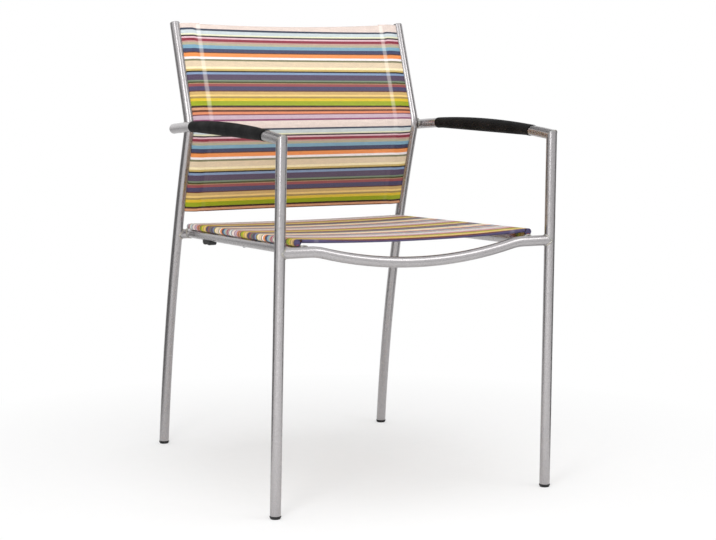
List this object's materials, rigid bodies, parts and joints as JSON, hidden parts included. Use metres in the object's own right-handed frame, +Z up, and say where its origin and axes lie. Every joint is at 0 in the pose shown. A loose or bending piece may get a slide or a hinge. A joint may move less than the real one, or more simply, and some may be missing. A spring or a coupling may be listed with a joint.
{
  "type": "sling patio chair",
  "caption": "Stacking outdoor armchair: bent steel tube frame with arched arms, dark arm sleeves, plastic foot glides, and a striped fabric sling for the seat and for the back.",
  "frame": {"origin": "on the floor at the middle of the chair's footprint", "axes": "+Z up; the sitter looks towards -Y; +X to the right as seen from in front"},
  "size_m": [0.5528, 0.6818, 0.8498],
  "materials": {
    "frame_steel": "satin brushed",
    "screw_steel": "bright",
    "sling_fabric": "coated open weave with many narrow stripes across the width",
    "arm_sleeve": "matte",
    "foot_plastic": "matte",
    "keder_plastic": "matte"
  },
  "bodies": {
    "root": {"front_cross_rail": "frame_steel", "rear_cross_rail": "frame_steel", "seat_sling": "sling_fabric", "back_sling": "sling_fabric", "front_leg_left": "frame_steel", "arm_rail_left": "frame_steel", "rear_post_left": "frame_steel", "seat_side_rail_left": "frame_steel", "seat_sling_rod_left": "frame_steel", "seat_rod_screw_left_front": "screw_steel", "seat_rod_screw_left_middle": "screw_steel", "seat_rod_screw_left_rear": "screw_steel", "back_keder_rod_left": "keder_plastic", "arm_pad_left": "arm_sleeve", "arm_tail_cap_left": "frame_steel", "post_top_plug_left": "frame_steel", "front_foot_glide_left": "foot_plastic", "rear_foot_glide_left": "foot_plastic", "stacking_bumper_left": "foot_plastic", "bumper_screw_left": "screw_steel", "front_leg_right": "frame_steel", "arm_rail_right": "frame_steel", "rear_post_right": "frame_steel", "seat_side_rail_right": "frame_steel", "seat_sling_rod_right": "frame_steel", "seat_rod_screw_right_front": "screw_steel", "seat_rod_screw_right_middle": "screw_steel", "seat_rod_screw_right_rear": "screw_steel", "back_keder_rod_right": "keder_plastic", "arm_pad_right": "arm_sleeve", "arm_tail_cap_right": "frame_steel", "post_top_plug_right": "frame_steel", "front_foot_glide_right": "foot_plastic", "rear_foot_glide_right": "foot_plastic", "stacking_bumper_right": "foot_plastic", "bumper_screw_right": "screw_steel"}
  },
  "joints": []
}
